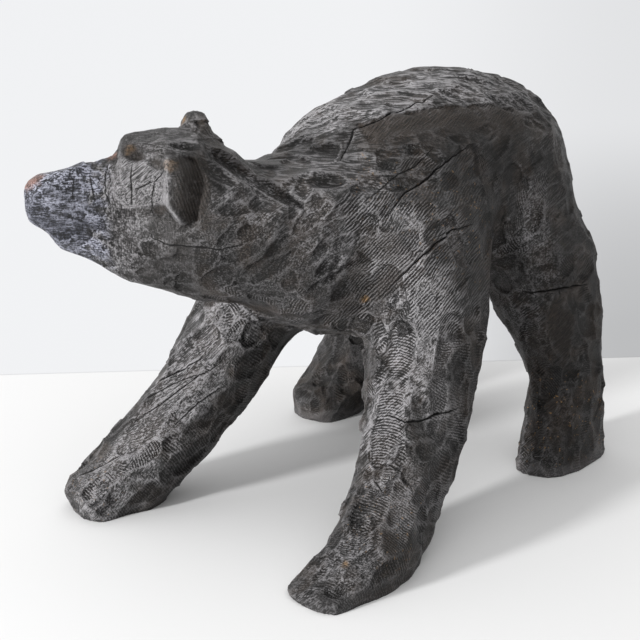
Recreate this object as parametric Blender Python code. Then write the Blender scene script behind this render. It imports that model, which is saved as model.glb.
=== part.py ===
"""Walking bear, carved with a chainsaw from one log and stained black.

Metres, +Z up. The bear faces -Y and its left side is +X; its head is turned to its right. The carving is
one solid: a body, four legs, a neck with the head, and two ears, all cut from the same wood. The limbs are
lofted along their centre lines, merged into one skin, filleted where they meet, hewn into flat cuts and set
on four flat soles at z = 0.
"""

import math
from collections import namedtuple

import bmesh
import bpy
import numpy as np
from mathutils import Vector
from mathutils.bvhtree import BVHTree

# ---- Driving dimensions (metres, degrees) -------------------------------------------------------------
BACK_HEIGHT = 0.624  # highest point of the back above the floor
BELLY_HEIGHT = 0.245  # underside of the belly above the floor
HIP_HALF_WIDTH = 0.175
TRACK = 0.44  # left foot to right foot, centre to centre
HALF_TRACK = TRACK / 2

HEAD_PIVOT = (-0.045, -0.235, 0.46)  # where the neck becomes the head
HEAD_TURN = 46.0  # towards the bear's right
HEAD_ROLL = 12.0  # the left ear is the lower one

SKIN_VOXEL = 0.0075  # size of the cells in which the limbs are merged
LIMB_FILLET = 0.048  # reach of the fillets where limbs meet
EAR_FILLET = 0.015
SAWING_STOCK = 0.0022  # wood left on everywhere for the saw cuts
SKIN_TRIANGLES = 9300  # triangles that the solid keeps

CUT_SPACING = 0.034  # distance between the middles of two saw cuts
CUT_RADIUS = (0.028, 0.046)
CUT_DEPTH = (0.0020, 0.0048)
CUT_RUNOUT = 0.5  # slope at which a flat cut runs out
CUT_TILT = 0.06  # how far a cut leans away from the surface, as a slope

LEFT_EAR = (0.000, 0.078)  # how far the ear is set back, and its height above the head's pivot
RIGHT_EAR = (0.012, 0.092)
EYE_SIZE = (0.024, 0.030, 0.021)  # depth, length and height of the gouge
EAR_HOLLOW = (0.026, 0.034, 0.044)

RING_POINTS = 40
RINGS_PER_SPAN = 8
DOME_RINGS = 6

Station = namedtuple("Station", "centre half_width half_depth")


def between(x, y, top, bottom, half_width):
    """A station across the body: it spans the heights from bottom to top."""
    return Station((x, y, (top + bottom) / 2), half_width, (top - bottom) / 2)


def at(x, y, z, half_width, half_depth):
    """A station down a leg, centred on a point."""
    return Station((x, y, z), half_width, half_depth)


def unit(vector):
    return np.asarray(vector, float) / np.linalg.norm(vector)


# ---- The head's own frame -----------------------------------------------------------------------------
def head_axes():
    """Forward, side (the bear's right) and up directions of the turned and rolled head."""
    turn, roll = math.radians(HEAD_TURN), math.radians(HEAD_ROLL)
    forward = np.array([-math.sin(turn), -math.cos(turn), 0.0])
    level_side = np.cross(forward, (0.0, 0.0, 1.0))
    up = np.array([0.0, 0.0, math.cos(roll)]) - math.sin(roll) * level_side
    return forward, np.cross(forward, up), up


def head_point(forward, side, height):
    """The point this far ahead of the head's pivot and to its right, at this height above the floor."""
    ahead, right, up = head_axes()
    rise = (height - HEAD_PIVOT[2]) / up[2]
    return np.array(HEAD_PIVOT) + forward * ahead + side * right + rise * up


def head_spot(forward, side, rise):
    """The point this far ahead of the head's pivot, to its right and above it along the head's own up."""
    ahead, right, up = head_axes()
    return np.array(HEAD_PIVOT) + forward * ahead + side * right + rise * up


def head_station(forward, top, bottom, half_width):
    """A station across the head, between two heights above the floor."""
    return Station(tuple(head_point(forward, 0.0, (top + bottom) / 2)), half_width, (top - bottom) / 2)


# ---- Limbs: each is a line of stations from root to tip -----------------------------------------------
def body_stations():
    return [
        between(0.0, -0.14, 0.515, 0.300, 0.100),
        between(0.0, -0.05, BACK_HEIGHT - 0.072, BELLY_HEIGHT + 0.012, 0.140),
        between(0.0, 0.06, BACK_HEIGHT - 0.026, BELLY_HEIGHT, 0.160),
        between(0.0, 0.19, BACK_HEIGHT, BELLY_HEIGHT + 0.055, 0.165),
        between(0.0, 0.31, BACK_HEIGHT - 0.008, BELLY_HEIGHT + 0.065, HIP_HALF_WIDTH),
        between(0.0, 0.39, BACK_HEIGHT - 0.048, BELLY_HEIGHT + 0.075, HIP_HALF_WIDTH - 0.030),
    ]


def left_foreleg_stations():
    return [
        at(0.105, 0.05, 0.440, 0.075, 0.115),
        at(0.135, 0.03, 0.330, 0.078, 0.105),
        at(0.155, -0.01, 0.210, 0.073, 0.090),
        at(0.172, -0.055, 0.133, 0.066, 0.082),
        at(0.195, -0.125, 0.066, 0.062, 0.068),
        at(0.220, -0.215, 0.028, 0.060, 0.055),
        at(HALF_TRACK - 0.004, -0.320, 0.006, 0.046, 0.018),
    ]


def right_foreleg_stations():
    return [
        at(-0.095, 0.010, 0.400, 0.072, 0.100),
        at(-0.130, -0.070, 0.275, 0.072, 0.080),
        at(-0.164, -0.165, 0.140, 0.062, 0.068),
        at(-0.200, -0.252, 0.054, 0.062, 0.062),
        at(-HALF_TRACK - 0.006, -0.330, 0.012, 0.050, 0.040),
    ]


def left_hindleg_stations():
    return [
        at(0.100, 0.300, 0.410, 0.080, 0.110),
        at(0.157, 0.315, 0.300, 0.080, 0.100),
        at(0.193, 0.335, 0.170, 0.060, 0.068),
        at(0.205, 0.330, 0.090, 0.057, 0.068),
        at(HALF_TRACK - 0.006, 0.306, -0.030, 0.058, 0.104),
    ]


def right_hindleg_stations():
    return [
        at(-0.100, 0.300, 0.410, 0.080, 0.110),
        at(-0.157, 0.325, 0.290, 0.080, 0.094),
        at(-0.188, 0.330, 0.180, 0.062, 0.072),
        at(-0.204, 0.300, 0.090, 0.062, 0.078),
        at(-0.214, 0.232, 0.036, 0.060, 0.056),
        at(-HALF_TRACK + 0.006, 0.190, 0.020, 0.050, 0.046),
    ]


def head_stations():
    return [
        between(0.0, -0.07, 0.525, 0.320, 0.115),
        between(-0.020, -0.155, 0.525, 0.335, 0.105),
        head_station(0.00, 0.562, 0.345, 0.080),
        head_station(0.04, 0.582, 0.352, 0.074),
        head_station(0.08, 0.579, 0.366, 0.065),
        head_station(0.109, 0.573, 0.380, 0.056),
        head_station(0.124, 0.550, 0.386, 0.050),
        head_station(0.15, 0.536, 0.398, 0.042),
        head_station(0.20, 0.525, 0.424, 0.035),
        head_station(0.238, 0.516, 0.462, 0.027),
    ]


def ear_stations(side, back, lift):
    """The ear is an upright lobe that leans out to the side."""
    return [
        Station(tuple(head_spot(0.034 - back, side * 0.034, lift - 0.008)), 0.018, 0.036),
        Station(tuple(head_spot(0.034 - back, side * 0.054, lift)), 0.018, 0.038),
        Station(tuple(head_spot(0.034 - back, side * 0.072, lift + 0.012)), 0.015, 0.031),
    ]


def left_ear_stations():
    return ear_stations(-1, *LEFT_EAR)


def right_ear_stations():
    return ear_stations(1, *RIGHT_EAR)


LIMBS = {
    # name: (stations, direction across the limb, squareness, dome at the root, dome at the tip, fillet)
    "body": (body_stations, "x", 2.2, 0.05, 0.055, LIMB_FILLET),
    "left_foreleg": (left_foreleg_stations, "x", 2.4, 0.03, 0.02, LIMB_FILLET),
    "right_foreleg": (right_foreleg_stations, "x", 2.4, 0.03, 0.02, LIMB_FILLET),
    "left_hindleg": (left_hindleg_stations, "x", 2.4, 0.03, 0.03, LIMB_FILLET),
    "right_hindleg": (right_hindleg_stations, "x", 2.4, 0.03, 0.03, LIMB_FILLET),
    "head": (head_stations, "head", 2.3, 0.03, 0.010, LIMB_FILLET),
    "left_ear": (left_ear_stations, "ear", 2.2, 0.01, 0.010, EAR_FILLET),
    "right_ear": (right_ear_stations, "ear", 2.2, 0.01, 0.010, EAR_FILLET),
}


# ---- Lofting ------------------------------------------------------------------------------------------
def smooth_line(values):
    """Catmull-Rom curve through the rows of values, with RINGS_PER_SPAN steps between two rows."""
    rows = np.asarray(values, float)
    padded = np.vstack([2 * rows[0] - rows[1], rows, 2 * rows[-1] - rows[-2]])
    steps = np.linspace(0, 1, RINGS_PER_SPAN, endpoint=False)[:, None]
    spans = []
    for before, start, end, after in zip(padded, padded[1:], padded[2:], padded[3:]):
        spans.append(
            start
            + steps * (end - before) / 2
            + steps**2 * (before - 2.5 * start + 2 * end - after / 2)
            + steps**3 * (1.5 * (start - end) + (after - before) / 2)
        )
    return np.vstack(spans + [rows[-1:]])


def with_domes(centres, widths, depths, root_bulge, tip_bulge):
    """The rings of a limb with a rounded end added before the first and after the last."""
    angles = np.linspace(0, math.pi / 2, DOME_RINGS + 1)[1:-1]
    out_root = unit(centres[0] - centres[1])
    out_tip = unit(centres[-1] - centres[-2])
    root = [centres[0] + out_root * root_bulge * math.sin(a) for a in angles[::-1]]
    tip = [centres[-1] + out_tip * tip_bulge * math.sin(a) for a in angles]
    shrink = np.cos(angles)
    return (
        np.vstack([root, centres, tip]),
        np.concatenate([widths[0] * shrink[::-1], widths, widths[-1] * shrink]),
        np.concatenate([depths[0] * shrink[::-1], depths, depths[-1] * shrink]),
    )


def ring_axes(tangents, across):
    """Unit vectors along the width and along the depth of each ring."""
    forward, side, up = head_axes()
    if across == "head":  # the rings turn and lean over with the head along the neck
        share = np.clip(np.linspace(0, 4, len(tangents)), 0, 1)[:, None]
        ahead = (1 - share) * np.array([0.0, -1.0, 0.0]) + share * forward
        rises = (1 - share) * np.array([0.0, 0.0, 1.0]) + share * up
        sides = np.cross(ahead, rises)
        return sides / np.linalg.norm(sides, axis=1)[:, None], rises
    wide = forward if across == "ear" else np.array([1.0, 0.0, 0.0])
    sides = wide - tangents * (tangents @ wide)[:, None]
    sides /= np.linalg.norm(sides, axis=1)[:, None]
    return sides, np.cross(sides, tangents)


def loft(stations, across, squareness, root_bulge, tip_bulge):
    """Closed mesh (points, faces) of superellipse rings carried along the smooth line of the stations."""
    table = smooth_line([(*s.centre, s.half_width, s.half_depth) for s in stations])
    centres, widths, depths = with_domes(table[:, :3], table[:, 3], table[:, 4], root_bulge, tip_bulge)
    tangents = np.gradient(centres, axis=0)
    tangents /= np.linalg.norm(tangents, axis=1)[:, None]
    sides, rises = ring_axes(tangents, across)
    angles = np.linspace(0, 2 * math.pi, RING_POINTS, endpoint=False)
    power = 2 / squareness
    ring_x = np.sign(np.cos(angles)) * np.abs(np.cos(angles)) ** power
    ring_y = np.sign(np.sin(angles)) * np.abs(np.sin(angles)) ** power
    rings = (
        centres[:, None]
        + sides[:, None] * (widths[:, None] * ring_x)[..., None]
        + rises[:, None] * (depths[:, None] * ring_y)[..., None]
    )
    count = len(centres)
    index = np.arange(count * RING_POINTS).reshape(count, RING_POINTS)
    following = np.roll(index, -1, axis=1)
    quads = np.stack([index[:-1], following[:-1], following[1:], index[1:]], axis=-1).reshape(-1, 4)
    faces = [tuple(map(int, quad)) for quad in quads]
    faces.append(tuple(map(int, index[0][::-1])))
    faces.append(tuple(map(int, index[-1])))
    return rings.reshape(-1, 3), faces


def facing_out(points, faces):
    """A bmesh of the points and faces with every face pointing outwards."""
    mesh = bmesh.new()
    corners = [mesh.verts.new(p) for p in points]
    for face in faces:
        mesh.faces.new([corners[i] for i in face])
    bmesh.ops.recalc_face_normals(mesh, faces=mesh.faces)
    return mesh


# ---- Merging the limbs --------------------------------------------------------------------------------
def merged_skin(limbs):
    """One skin round all the limbs, made by remeshing them together in cells of SKIN_VOXEL."""
    joined = bpy.data.meshes.new("limbs")
    everything = bmesh.new()
    for points, faces in limbs:
        limb = facing_out(points, faces)
        part = bpy.data.meshes.new("limb")
        limb.to_mesh(part)
        limb.free()
        everything.from_mesh(part)
        bpy.data.meshes.remove(part)
    everything.to_mesh(joined)
    everything.free()
    holder = bpy.data.objects.new("limbs", joined)
    bpy.context.scene.collection.objects.link(holder)
    merge = holder.modifiers.new("Merge", "REMESH")
    merge.mode = "VOXEL"
    merge.voxel_size = SKIN_VOXEL
    bpy.context.view_layer.update()
    graph = bpy.context.evaluated_depsgraph_get()
    skin = bpy.data.meshes.new_from_object(holder.evaluated_get(graph))
    bpy.data.objects.remove(holder)
    bpy.data.meshes.remove(joined)
    return skin


def coordinates(mesh):
    flat = np.empty(len(mesh.vertices) * 3, np.float32)
    mesh.vertices.foreach_get("co", flat)
    return flat.reshape(-1, 3).astype(float)


def normals_of(mesh):
    flat = np.empty(len(mesh.vertices) * 3, np.float32)
    mesh.vertex_normals.foreach_get("vector", flat)
    return flat.reshape(-1, 3).astype(float)


def set_coordinates(mesh, points):
    mesh.vertices.foreach_set("co", points.astype(np.float32).ravel())
    mesh.update()


def signed_distance(tree, points):
    """Distance of each point from a limb's surface, negative inside it."""
    distances = np.empty(len(points))
    for row, point in enumerate(points):
        place, normal, _, gap = tree.find_nearest(Vector(point))
        outside = (Vector(point) - place).dot(normal) >= 0
        distances[row] = gap if outside else -gap
    return distances


def smooth_minimum(first, second, reach):
    """The smaller of two distances, rounded off where they differ by less than reach."""
    overlap = np.maximum(reach - np.abs(first - second), 0) / reach
    return np.minimum(first, second) - overlap**2 * reach / 4


def fillet(skin, limbs, reaches):
    """Moves the skin to where the smooth minimum of its distances to the limbs is the sawing stock."""
    trees = []
    for points, faces in limbs:
        limb = facing_out(points, faces)
        trees.append(BVHTree.FromBMesh(limb))
        limb.free()
    for _ in range(2):
        points = coordinates(skin)
        nearest = signed_distance(trees[0], points)
        for tree, reach in zip(trees[1:], reaches[1:]):
            nearest = smooth_minimum(nearest, signed_distance(tree, points), reach)
        set_coordinates(skin, points - normals_of(skin) * (nearest - SAWING_STOCK)[:, None])


# ---- Saw cuts -----------------------------------------------------------------------------------------
def cut_flat(points, middle, direction, reach):
    """Takes off what stands out past the plane through middle; the cut runs out at reach from it."""
    away = points - middle
    height = away @ direction
    distance = np.linalg.norm(away - height[:, None] * direction, axis=1)
    inside = (distance < reach) & (np.abs(height) < reach)
    taken = np.clip(height[inside], 0, CUT_RUNOUT * (reach - distance[inside]))
    points[inside] -= taken[:, None] * direction


def scoop(points, middle, direction, depth, radius):
    """Takes a shallow saw cut out of the points: deepest in the middle and nothing at its radius."""
    away = points - middle
    height = away @ direction
    share = (np.sum(away**2, axis=1) - height**2) / radius**2
    inside = (share < 1) & (np.abs(height) < radius)
    fade = 1 - share[inside]
    taken = np.clip(height[inside] + depth * fade, 0, 1.7 * depth * fade)
    points[inside] -= taken[:, None] * direction


def hew(skin):
    """Covers the skin with shallow saw cuts, in a fixed random order."""
    random = np.random.default_rng(12)
    points, normals = coordinates(skin), normals_of(skin)
    whole = points.copy()
    middles = np.empty((0, 3))
    for row in random.permutation(len(points)):
        if len(middles) and np.min(np.sum((middles - whole[row]) ** 2, axis=1)) < CUT_SPACING**2:
            continue
        middles = np.vstack([middles, whole[row]])
        direction = unit(normals[row] + random.uniform(-CUT_TILT, CUT_TILT, 3))
        scoop(points, whole[row], direction, random.uniform(*CUT_DEPTH), random.uniform(*CUT_RADIUS))
    set_coordinates(skin, points)


def carve_face(skin):
    """The planes of the head: under the crown's edges, the cheeks, the sides of the snout and the nose."""
    points = coordinates(skin)
    forward, side, up = head_axes()
    for hand in (-1, 1):
        out = hand * side
        cut_flat(points, head_spot(0.100, hand * 0.024, 0.112), unit(out + 0.40 * forward + 0.75 * up), 0.050)
        cut_flat(points, head_spot(0.105, hand * 0.049, 0.065), unit(out + 0.22 * forward + 0.10 * up), 0.045)
        cut_flat(points, head_spot(0.185, hand * 0.014, 0.066), unit(out + 0.10 * forward + 0.80 * up), 0.055)
        cut_flat(points, head_spot(0.190, hand * 0.033, 0.030), unit(out + 0.10 * forward + 0.05 * up), 0.050)
        cut_flat(points, head_spot(0.240, hand * 0.014, 0.050), unit(out + 1.10 * forward + 0.5 * up), 0.030)
    cut_flat(points, head_spot(0.06, 0.0, 0.120), unit(up - 0.05 * forward), 0.060)
    set_coordinates(skin, points)


# ---- The finished object ------------------------------------------------------------------------------
def black_stained_wood():
    material = bpy.data.materials.new("black_stained_wood")
    material.use_nodes = True
    shader = material.node_tree.nodes["Principled BSDF"]
    shader.inputs["Base Color"].default_value = (0.035, 0.033, 0.032, 1.0)
    shader.inputs["Roughness"].default_value = 0.55
    shader.inputs["Metallic"].default_value = 0.0
    return material


def link(name, data):
    item = bpy.data.objects.new(name, data)
    bpy.context.scene.collection.objects.link(item)
    return item


def cutter(name, mesh):
    """An object that only cuts: it isn't rendered and it shows as a wire."""
    data = bpy.data.meshes.new(name)
    mesh.to_mesh(data)
    mesh.free()
    item = link(name, data)
    item.hide_render = True
    item.display_type = "WIRE"
    return item


def floor_cutter():
    """A slab whose top is the plane of the soles."""
    mesh = bmesh.new()
    bmesh.ops.create_cube(mesh, size=1.0)
    bmesh.ops.scale(mesh, vec=(2.0, 2.0, 0.3), verts=mesh.verts)
    bmesh.ops.translate(mesh, vec=(0, 0, -0.15), verts=mesh.verts)
    return cutter("floor_cutter", mesh)


def gouge(name, middle, axes, size):
    """An ellipsoid of this size along three right-handed axes."""
    mesh = bmesh.new()
    bmesh.ops.create_icosphere(mesh, subdivisions=2, radius=0.5)
    for corner in mesh.verts:
        spot = sum(c * extent * axis for c, extent, axis in zip(corner.co, size, axes))
        corner.co = Vector(np.asarray(middle) + spot)
    mesh.normal_update()
    return cutter(name, mesh)


def face_gouges():
    """The eye hollows under the brow and the hollows in the fronts of the ears."""
    forward, side, up = head_axes()
    gouges = []
    for hand, word, (back, lift) in ((-1, "left", LEFT_EAR), (1, "right", RIGHT_EAR)):
        eye = head_spot(0.104, hand * 0.038, 0.103)
        gouges.append(gouge(word + "_eye_cutter", eye, (side, forward, up), EYE_SIZE))
        ear = head_spot(0.056 - back, hand * 0.064, lift)
        outward = unit(hand * side + 0.3 * up)
        across = np.cross(forward, outward)
        gouges.append(gouge(word + "_ear_cutter", ear, (forward, outward, across), EAR_HOLLOW))
    return gouges


def boolean(item, name, tool):
    modifier = item.modifiers.new(name, "BOOLEAN")
    modifier.operation = "DIFFERENCE"
    modifier.object = tool


def stand_at_origin(bear, tools):
    """Moves the bear and its cutters so that the middle of its bounding box stands over the origin."""
    bpy.context.view_layer.update()
    shown = bear.evaluated_get(bpy.context.evaluated_depsgraph_get())
    corners = np.array([tuple(corner) for corner in shown.bound_box])
    middle = (corners.min(axis=0) + corners.max(axis=0)) / 2
    for item in [bear, *tools]:
        item.location = (-middle[0], -middle[1], 0.0)


def make_bear():
    limbs = [loft(form[0](), *form[1:5]) for form in LIMBS.values()]
    skin = merged_skin(limbs)
    fillet(skin, limbs, [form[5] for form in LIMBS.values()])
    carve_face(skin)
    hew(skin)
    skin.name = "bear"
    skin.materials.append(black_stained_wood())
    bear = link("bear", skin)
    fewer = bear.modifiers.new("Fewer triangles", "DECIMATE")
    fewer.ratio = SKIN_TRIANGLES / sum(len(face.vertices) - 2 for face in skin.polygons)
    tools = face_gouges() + [floor_cutter()]
    for tool in tools:
        boolean(bear, tool.name, tool)
    stand_at_origin(bear, tools)


def main():
    for old in list(bpy.data.objects):
        bpy.data.objects.remove(old)
    make_bear()


main()
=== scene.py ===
"""Dresses the carved bear in saw cuts, chain marks, drying cracks and worn black stain, and sets its studio."""
import functools
import math

import bmesh
import bpy
import numpy as np
from bpy.props import FloatProperty, FloatVectorProperty, IntProperty, PointerProperty, StringProperty
from mathutils import Matrix, Vector
from mathutils.bvhtree import BVHTree


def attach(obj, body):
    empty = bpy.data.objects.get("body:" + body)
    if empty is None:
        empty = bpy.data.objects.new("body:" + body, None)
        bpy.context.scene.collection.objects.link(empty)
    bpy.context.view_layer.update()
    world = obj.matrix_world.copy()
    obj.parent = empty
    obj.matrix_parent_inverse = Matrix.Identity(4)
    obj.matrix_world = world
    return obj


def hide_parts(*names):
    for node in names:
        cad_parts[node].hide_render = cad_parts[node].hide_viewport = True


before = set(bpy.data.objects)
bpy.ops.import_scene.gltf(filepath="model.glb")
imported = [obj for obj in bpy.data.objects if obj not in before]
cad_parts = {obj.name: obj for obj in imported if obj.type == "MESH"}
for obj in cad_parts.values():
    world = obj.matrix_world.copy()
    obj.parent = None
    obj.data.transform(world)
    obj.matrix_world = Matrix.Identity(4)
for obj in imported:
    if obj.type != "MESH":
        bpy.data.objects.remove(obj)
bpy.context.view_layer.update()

bl_info = {
    "name": "Chainsaw Carved Bear",
    "version": (1, 0, 0),
    "blender": (4, 5, 0),
    "location": "View3D > Sidebar > Carved Bear",
    "description": "Cuts the saw marks, cracks and stain into a bear carved from one log",
    "category": "Object",
}

MM = 0.001

# ---------------------------------------------------------------- the carving's own directions and places

# The log lay along the bear's body and leaned up towards the rump: its fibres run this way.
GRAIN_TILT = math.radians(19.0)
GRAIN = np.array([0.0, math.cos(GRAIN_TILT), math.sin(GRAIN_TILT)])
# The chain's teeth ran across the flanks on this slope.
TOOTH_LINE = np.array([-0.61, -0.42, 0.67])

# The head's own place and directions, as in the solid.
HEAD_PIVOT = np.array([-0.048, -0.249, 0.460])
HEAD_FORWARD = np.array([-0.719, -0.695, 0.0])
HEAD_UP = np.array([0.144, -0.150, 0.978])
HEAD_SIDE = np.cross(HEAD_FORWARD, HEAD_UP)
# How far ahead of the pivot the snout begins.
SNOUT_START = (0.125, 0.150)

# The saw swept slantwise over the back, and up and back over the neck.
BACK_SWEEP = np.array([0.77, 0.64, 0.0])
NECK_SWEEP = np.array([0.47, 0.64, 0.61])
LEG_FIBRES = np.array([0.62, 0.28, 0.73])
# Fine scratches cross the cheek plate, rising towards the ear.
SCRATCH = np.array([0.47, 0.66, 0.59])

# The tables of places below are in millimetres.

# The middle line of each leg, top to toe, as in the solid: left fore, right fore, left hind and right hind.
LEG_LINES = [
    [(102, 36, 440), (152, -24, 210), (169, -69, 133), (192, -139, 66), (213, -334, 6)],
    [(-98, -4, 400), (-133, -84, 275), (-167, -179, 140), (-229, -344, 12)],
    [(97, 286, 410), (154, 301, 300), (190, 321, 170), (211, 292, -30)],
    [(-103, 286, 410), (-160, 311, 290), (-191, 316, 180), (-217, 176, 20)],
]

# Drying cracks: the points they pass, and the width and depth of each.
CRACKS = [
    ([(70, 107, 602), (54, -8, 579), (34, -40, 566), (54, -93, 533)], 2.1, 8),
    ([(140, 99, 536), (138, 61, 525), (138, -18, 498), (135, -50, 491), (132, -90, 460)], 2, 8),
    ([(122, 37, 541), (122, -4, 521), (115, -38, 512), (112, -102, 488)], 1.4, 5),
    ([(184, 52, 435), (185, 5, 435), (180, -35, 422), (167, -70, 396), (141, -91, 361)], 1.9, 8),
    ([(-210, -235, 175), (-167, -215, 204), (-130, -199, 227)], 1.9, 7),
    ([(-212, -251, 150), (-166, -228, 186), (-122, -208, 208)], 1.5, 5),
    ([(-200, -273, 136), (-150, -228, 180), (-99, -182, 222)], 1.6, 6),
    ([(-135, -252, 133), (-114, -217, 165), (-94, -173, 189)], 1.5, 6),
    ([(-239, -348, 58), (-207, -325, 79), (-187, -310, 96)], 2, 7),
    ([(166, -127, 191), (198, -127, 187), (213, -106, 186), (223, -88, 190), (227, -31, 186)], 2, 8),
    ([(193, -161, 135), (222, -157, 127)], 1.5, 5),
    ([(191, -182, 114), (211, -193, 108)], 1.4, 4),
    ([(178, 205, 294), (207, 218, 300), (227, 251, 303), (236, 302, 299)], 2, 8),
    ([(-162, -393, 526), (-154, -401, 498)], 1.1, 3),
    ([(-150, -372, 530), (-129, -385, 494)], 1.2, 4),
    ([(-130, -354, 540), (-110, -374, 492)], 1.4, 4),
    ([(-86, -353, 550), (-81, -361, 497)], 1.2, 4),
    ([(-36, -340, 545), (-50, -347, 529), (-57, -347, 506), (-58, -349, 490), (-50, -351, 479)], 1.1, 3),
    ([(-77, -360, 517), (-51, -348, 529)], 1.1, 3),
    ([(-63, -350, 454), (-42, -339, 443), (-3, -314, 440), (14, -298, 436), (38, -269, 443)], 1.4, 5),
]
# A crack wider than this shows as a deep groove in the mesh.
WIDE_CRACK = 1.5
# In metres: a crack's steps along its course and how far it wanders from it, the distances to which its
# place and its width are kept, and half the narrowest groove that the mesh's cells can hold.
CRACK_STEP, CRACK_WANDER, CRACK_REACH, WIDTH_REACH, NARROW_GROOVE = 0.005, 0.001, 0.012, 0.007, 0.0016

# Small corrections of the solid's form, all under 18 mm: the middle and reach of each, and how far it moves.
PUSHES = [
    ((-85, -290, 585), 75, (0, 0, 6.5)), ((-80, -246, 596), 34, (-1, -1, 4)),
    ((-60, -232, 580), 40, (4, 4, 6)), ((-45, -240, 560), 60, (2, 2, 15)),
    ((-168, -377, 530), 75, (0, 0, 9)), ((-150, -362, 542), 45, (0, 0, 5)),
    ((-210, -410, 518), 50, (0, 0, 4)), ((-123, -337, 570), 36, (-2, -2, 4.5)),
    ((-100, -335, 392), 60, (0, 0, -8.5)),
]

# Cuts that the saw's tip made on purpose: place, direction along the cut, half length, half width, depth,
# flatness and tilt. The first three are smooth, with no smaller cuts or tooth marks in them.
NAMED_CUTS = [
    ((190, 4, 410), (0.2, 0.2, -0.96), 48, 17, 4.5, 2.5, 0.0),  # shoulder edge
    ((178, 225, 435), (0.0, 0.1, 1.0), 46, 24, 4.5, 2, 0.0),  # hip
    ((222, 262, 235), (0.05, 0.1, 1.0), 85, 34, 4, 2, 0.0),  # thigh
    ((-38, -298, 569), (-0.66, -0.66, -0.05), 27, 9, 6, 1.1, 0.3),  # ear top
    ((5, -285, 545), (0.55, 0.6, -0.55), 40, 15, 5, 1.2, 0.3),  # neck a
    ((27, -281, 450), (0.5, 0.55, 0.6), 34, 18, 4, 1.2, 0.0),  # neck b
    ((-160, -232, 176), (-0.32, -0.62, -0.71), 120, 46, 6.5, 2.4, 0.0),  # forearm
    ((-215, -322, 78), (-0.25, -0.8, -0.55), 70, 44, 4.5, 2.2, 0.0),  # forepaw
    ((172, -110, 215), (0.1, -0.45, -0.88), 105, 34, 4.5, 2, 0.0),  # left forearm
    ((216, -70, 235), (0.05, -0.35, -0.93), 80, 26, 5, 1.6, 0.0),  # left elbow
    ((215, -190, 105), (0.05, -0.8, -0.6), 80, 30, 4.5, 1.8, 0.0),  # left shin
]
SMOOTH_CUTS = 3
# The saw's usual cut on each part of the bear: half length, half width and depth, how many degrees its
# direction strays, how much it leans to one side, and how much more than 0.65 of such cuts is kept.
USUAL_CUTS = {
    "back": (30, 10.5, 4.6, 12, 0.13, 0.0),
    "flank": (40, 22, 2.0, 12, 0.11, 0.25),
    "head": (22, 13, 1.5, 28, 0.07, 0.0),
    "neck": (42, 13, 4.4, 22, 0.15, 0.5),
    "leg": (30, 17, 4.0, 28, 0.11, 0.35),
}
# Past this size, in square metres of half length by half width, fewer and fewer cuts are kept.
ROOM_PER_CUT = 210e-6
# How far off its plane a cut reaches, and the drop between two cuts over which their ridge fades, in metres.
CUT_REACH, RIDGE_DROP = 0.03, 0.00035
# A spot this much higher than the mean round it is a full crest, and the relief grows to its full depth
# between these two heights over the floor. Soles are what faces down below the last height.
CREST, FLOOR_FADE, SOLE_TOP = 0.0003, (0.001, 0.010), 0.0035

# The flank's smooth band under the back's edge: a place on that edge, the way down from it, its width and
# its depth.
FLANK_EDGE, FLANK_DOWN = np.array([0.066, 0.038, 0.587]), np.array([0.800, -0.265, -0.540])
FLANK_WIDTH, FLANK_DEPTH = 0.062, 0.0034
# The thin far ear, where no saw cut is made.
FAR_EAR, FAR_EAR_REACH = np.array([-0.078, -0.244, 0.596]), 0.026
# The dip behind the head, where the solid's step is smoothed away and cuts are shallow.
NAPE, NAPE_REACH, NAPE_CALM = np.array([-0.036, -0.238, 0.556]), 0.040, 0.075

# The near side of the face: its middle, and the directions across it towards the neck, up it, and out of it.
FACE_MIDDLE = np.array([0.002, -0.340, 0.526])
FACE_ACROSS = np.array([0.698, 0.716, 0.0])
FACE_UP = np.array([-0.1475, 0.1438, 0.9786])
FACE_OUT = np.array([0.701, -0.683, 0.206])
# What lies further than this behind the face's plane is the other side, of the neck and of the whole head.
BEHIND_CHEEK, BEHIND_HEAD = -62.0, -95.0
# Hollows of the eye, brow, jaw pocket and notch: place across and up, half sizes, turn in degrees, depth,
# flatness and lean.
FACE_HOLLOWS = [
    (-70.0, 45.0, 18.0, 10.5, -22.0, 10.5, 1.1, 0.35),
    (-52.0, 52.0, 20.0, 6.0, -12.0, 2.5, 1.0, 0.0),
    (-37.0, -27.0, 10.5, 10.0, 0.0, 5.0, 2.5, 0.0),
    (-41.0, 32.0, 9.5, 11.5, 25.0, 4.5, 1.6, 0.0),
]
# The pale plate of the cheek, corner by corner, across and up from the face's middle.
CHEEK_PLATE = np.array([(-93, 40), (-97, 8), (-97, -7), (-79, -25), (-48, -21), (-30, -20), (-28, 18), (-48, 34)])
# The near ear: how high its rim stands, how deep it is, and where that is on the way from the rim to the
# neck.
EAR_RIM, EAR_DEPTH, EAR_DEEPEST = 13.0, 15.0, 0.74

# Stains, bare spots, painted sheen and painted shade: the middle and the reach of each, and its strength.
BARE_WOOD = [
    ((-93.5, -354, 567), 10, 0.35), ((-88, -254, 592), 7, 0.7), ((115, -111, 344), 5, 1.0),
    ((231, -296, 46), 4.5, 0.9), ((268, -262, 33), 5, 0.9), ((-30, -340, 552), 7, 0.35),
]
RED_CLAY = [
    ((-219, -417, 521), 19, 0.9), ((-133, -350, 554), 8.5, 0.85),
]
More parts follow.
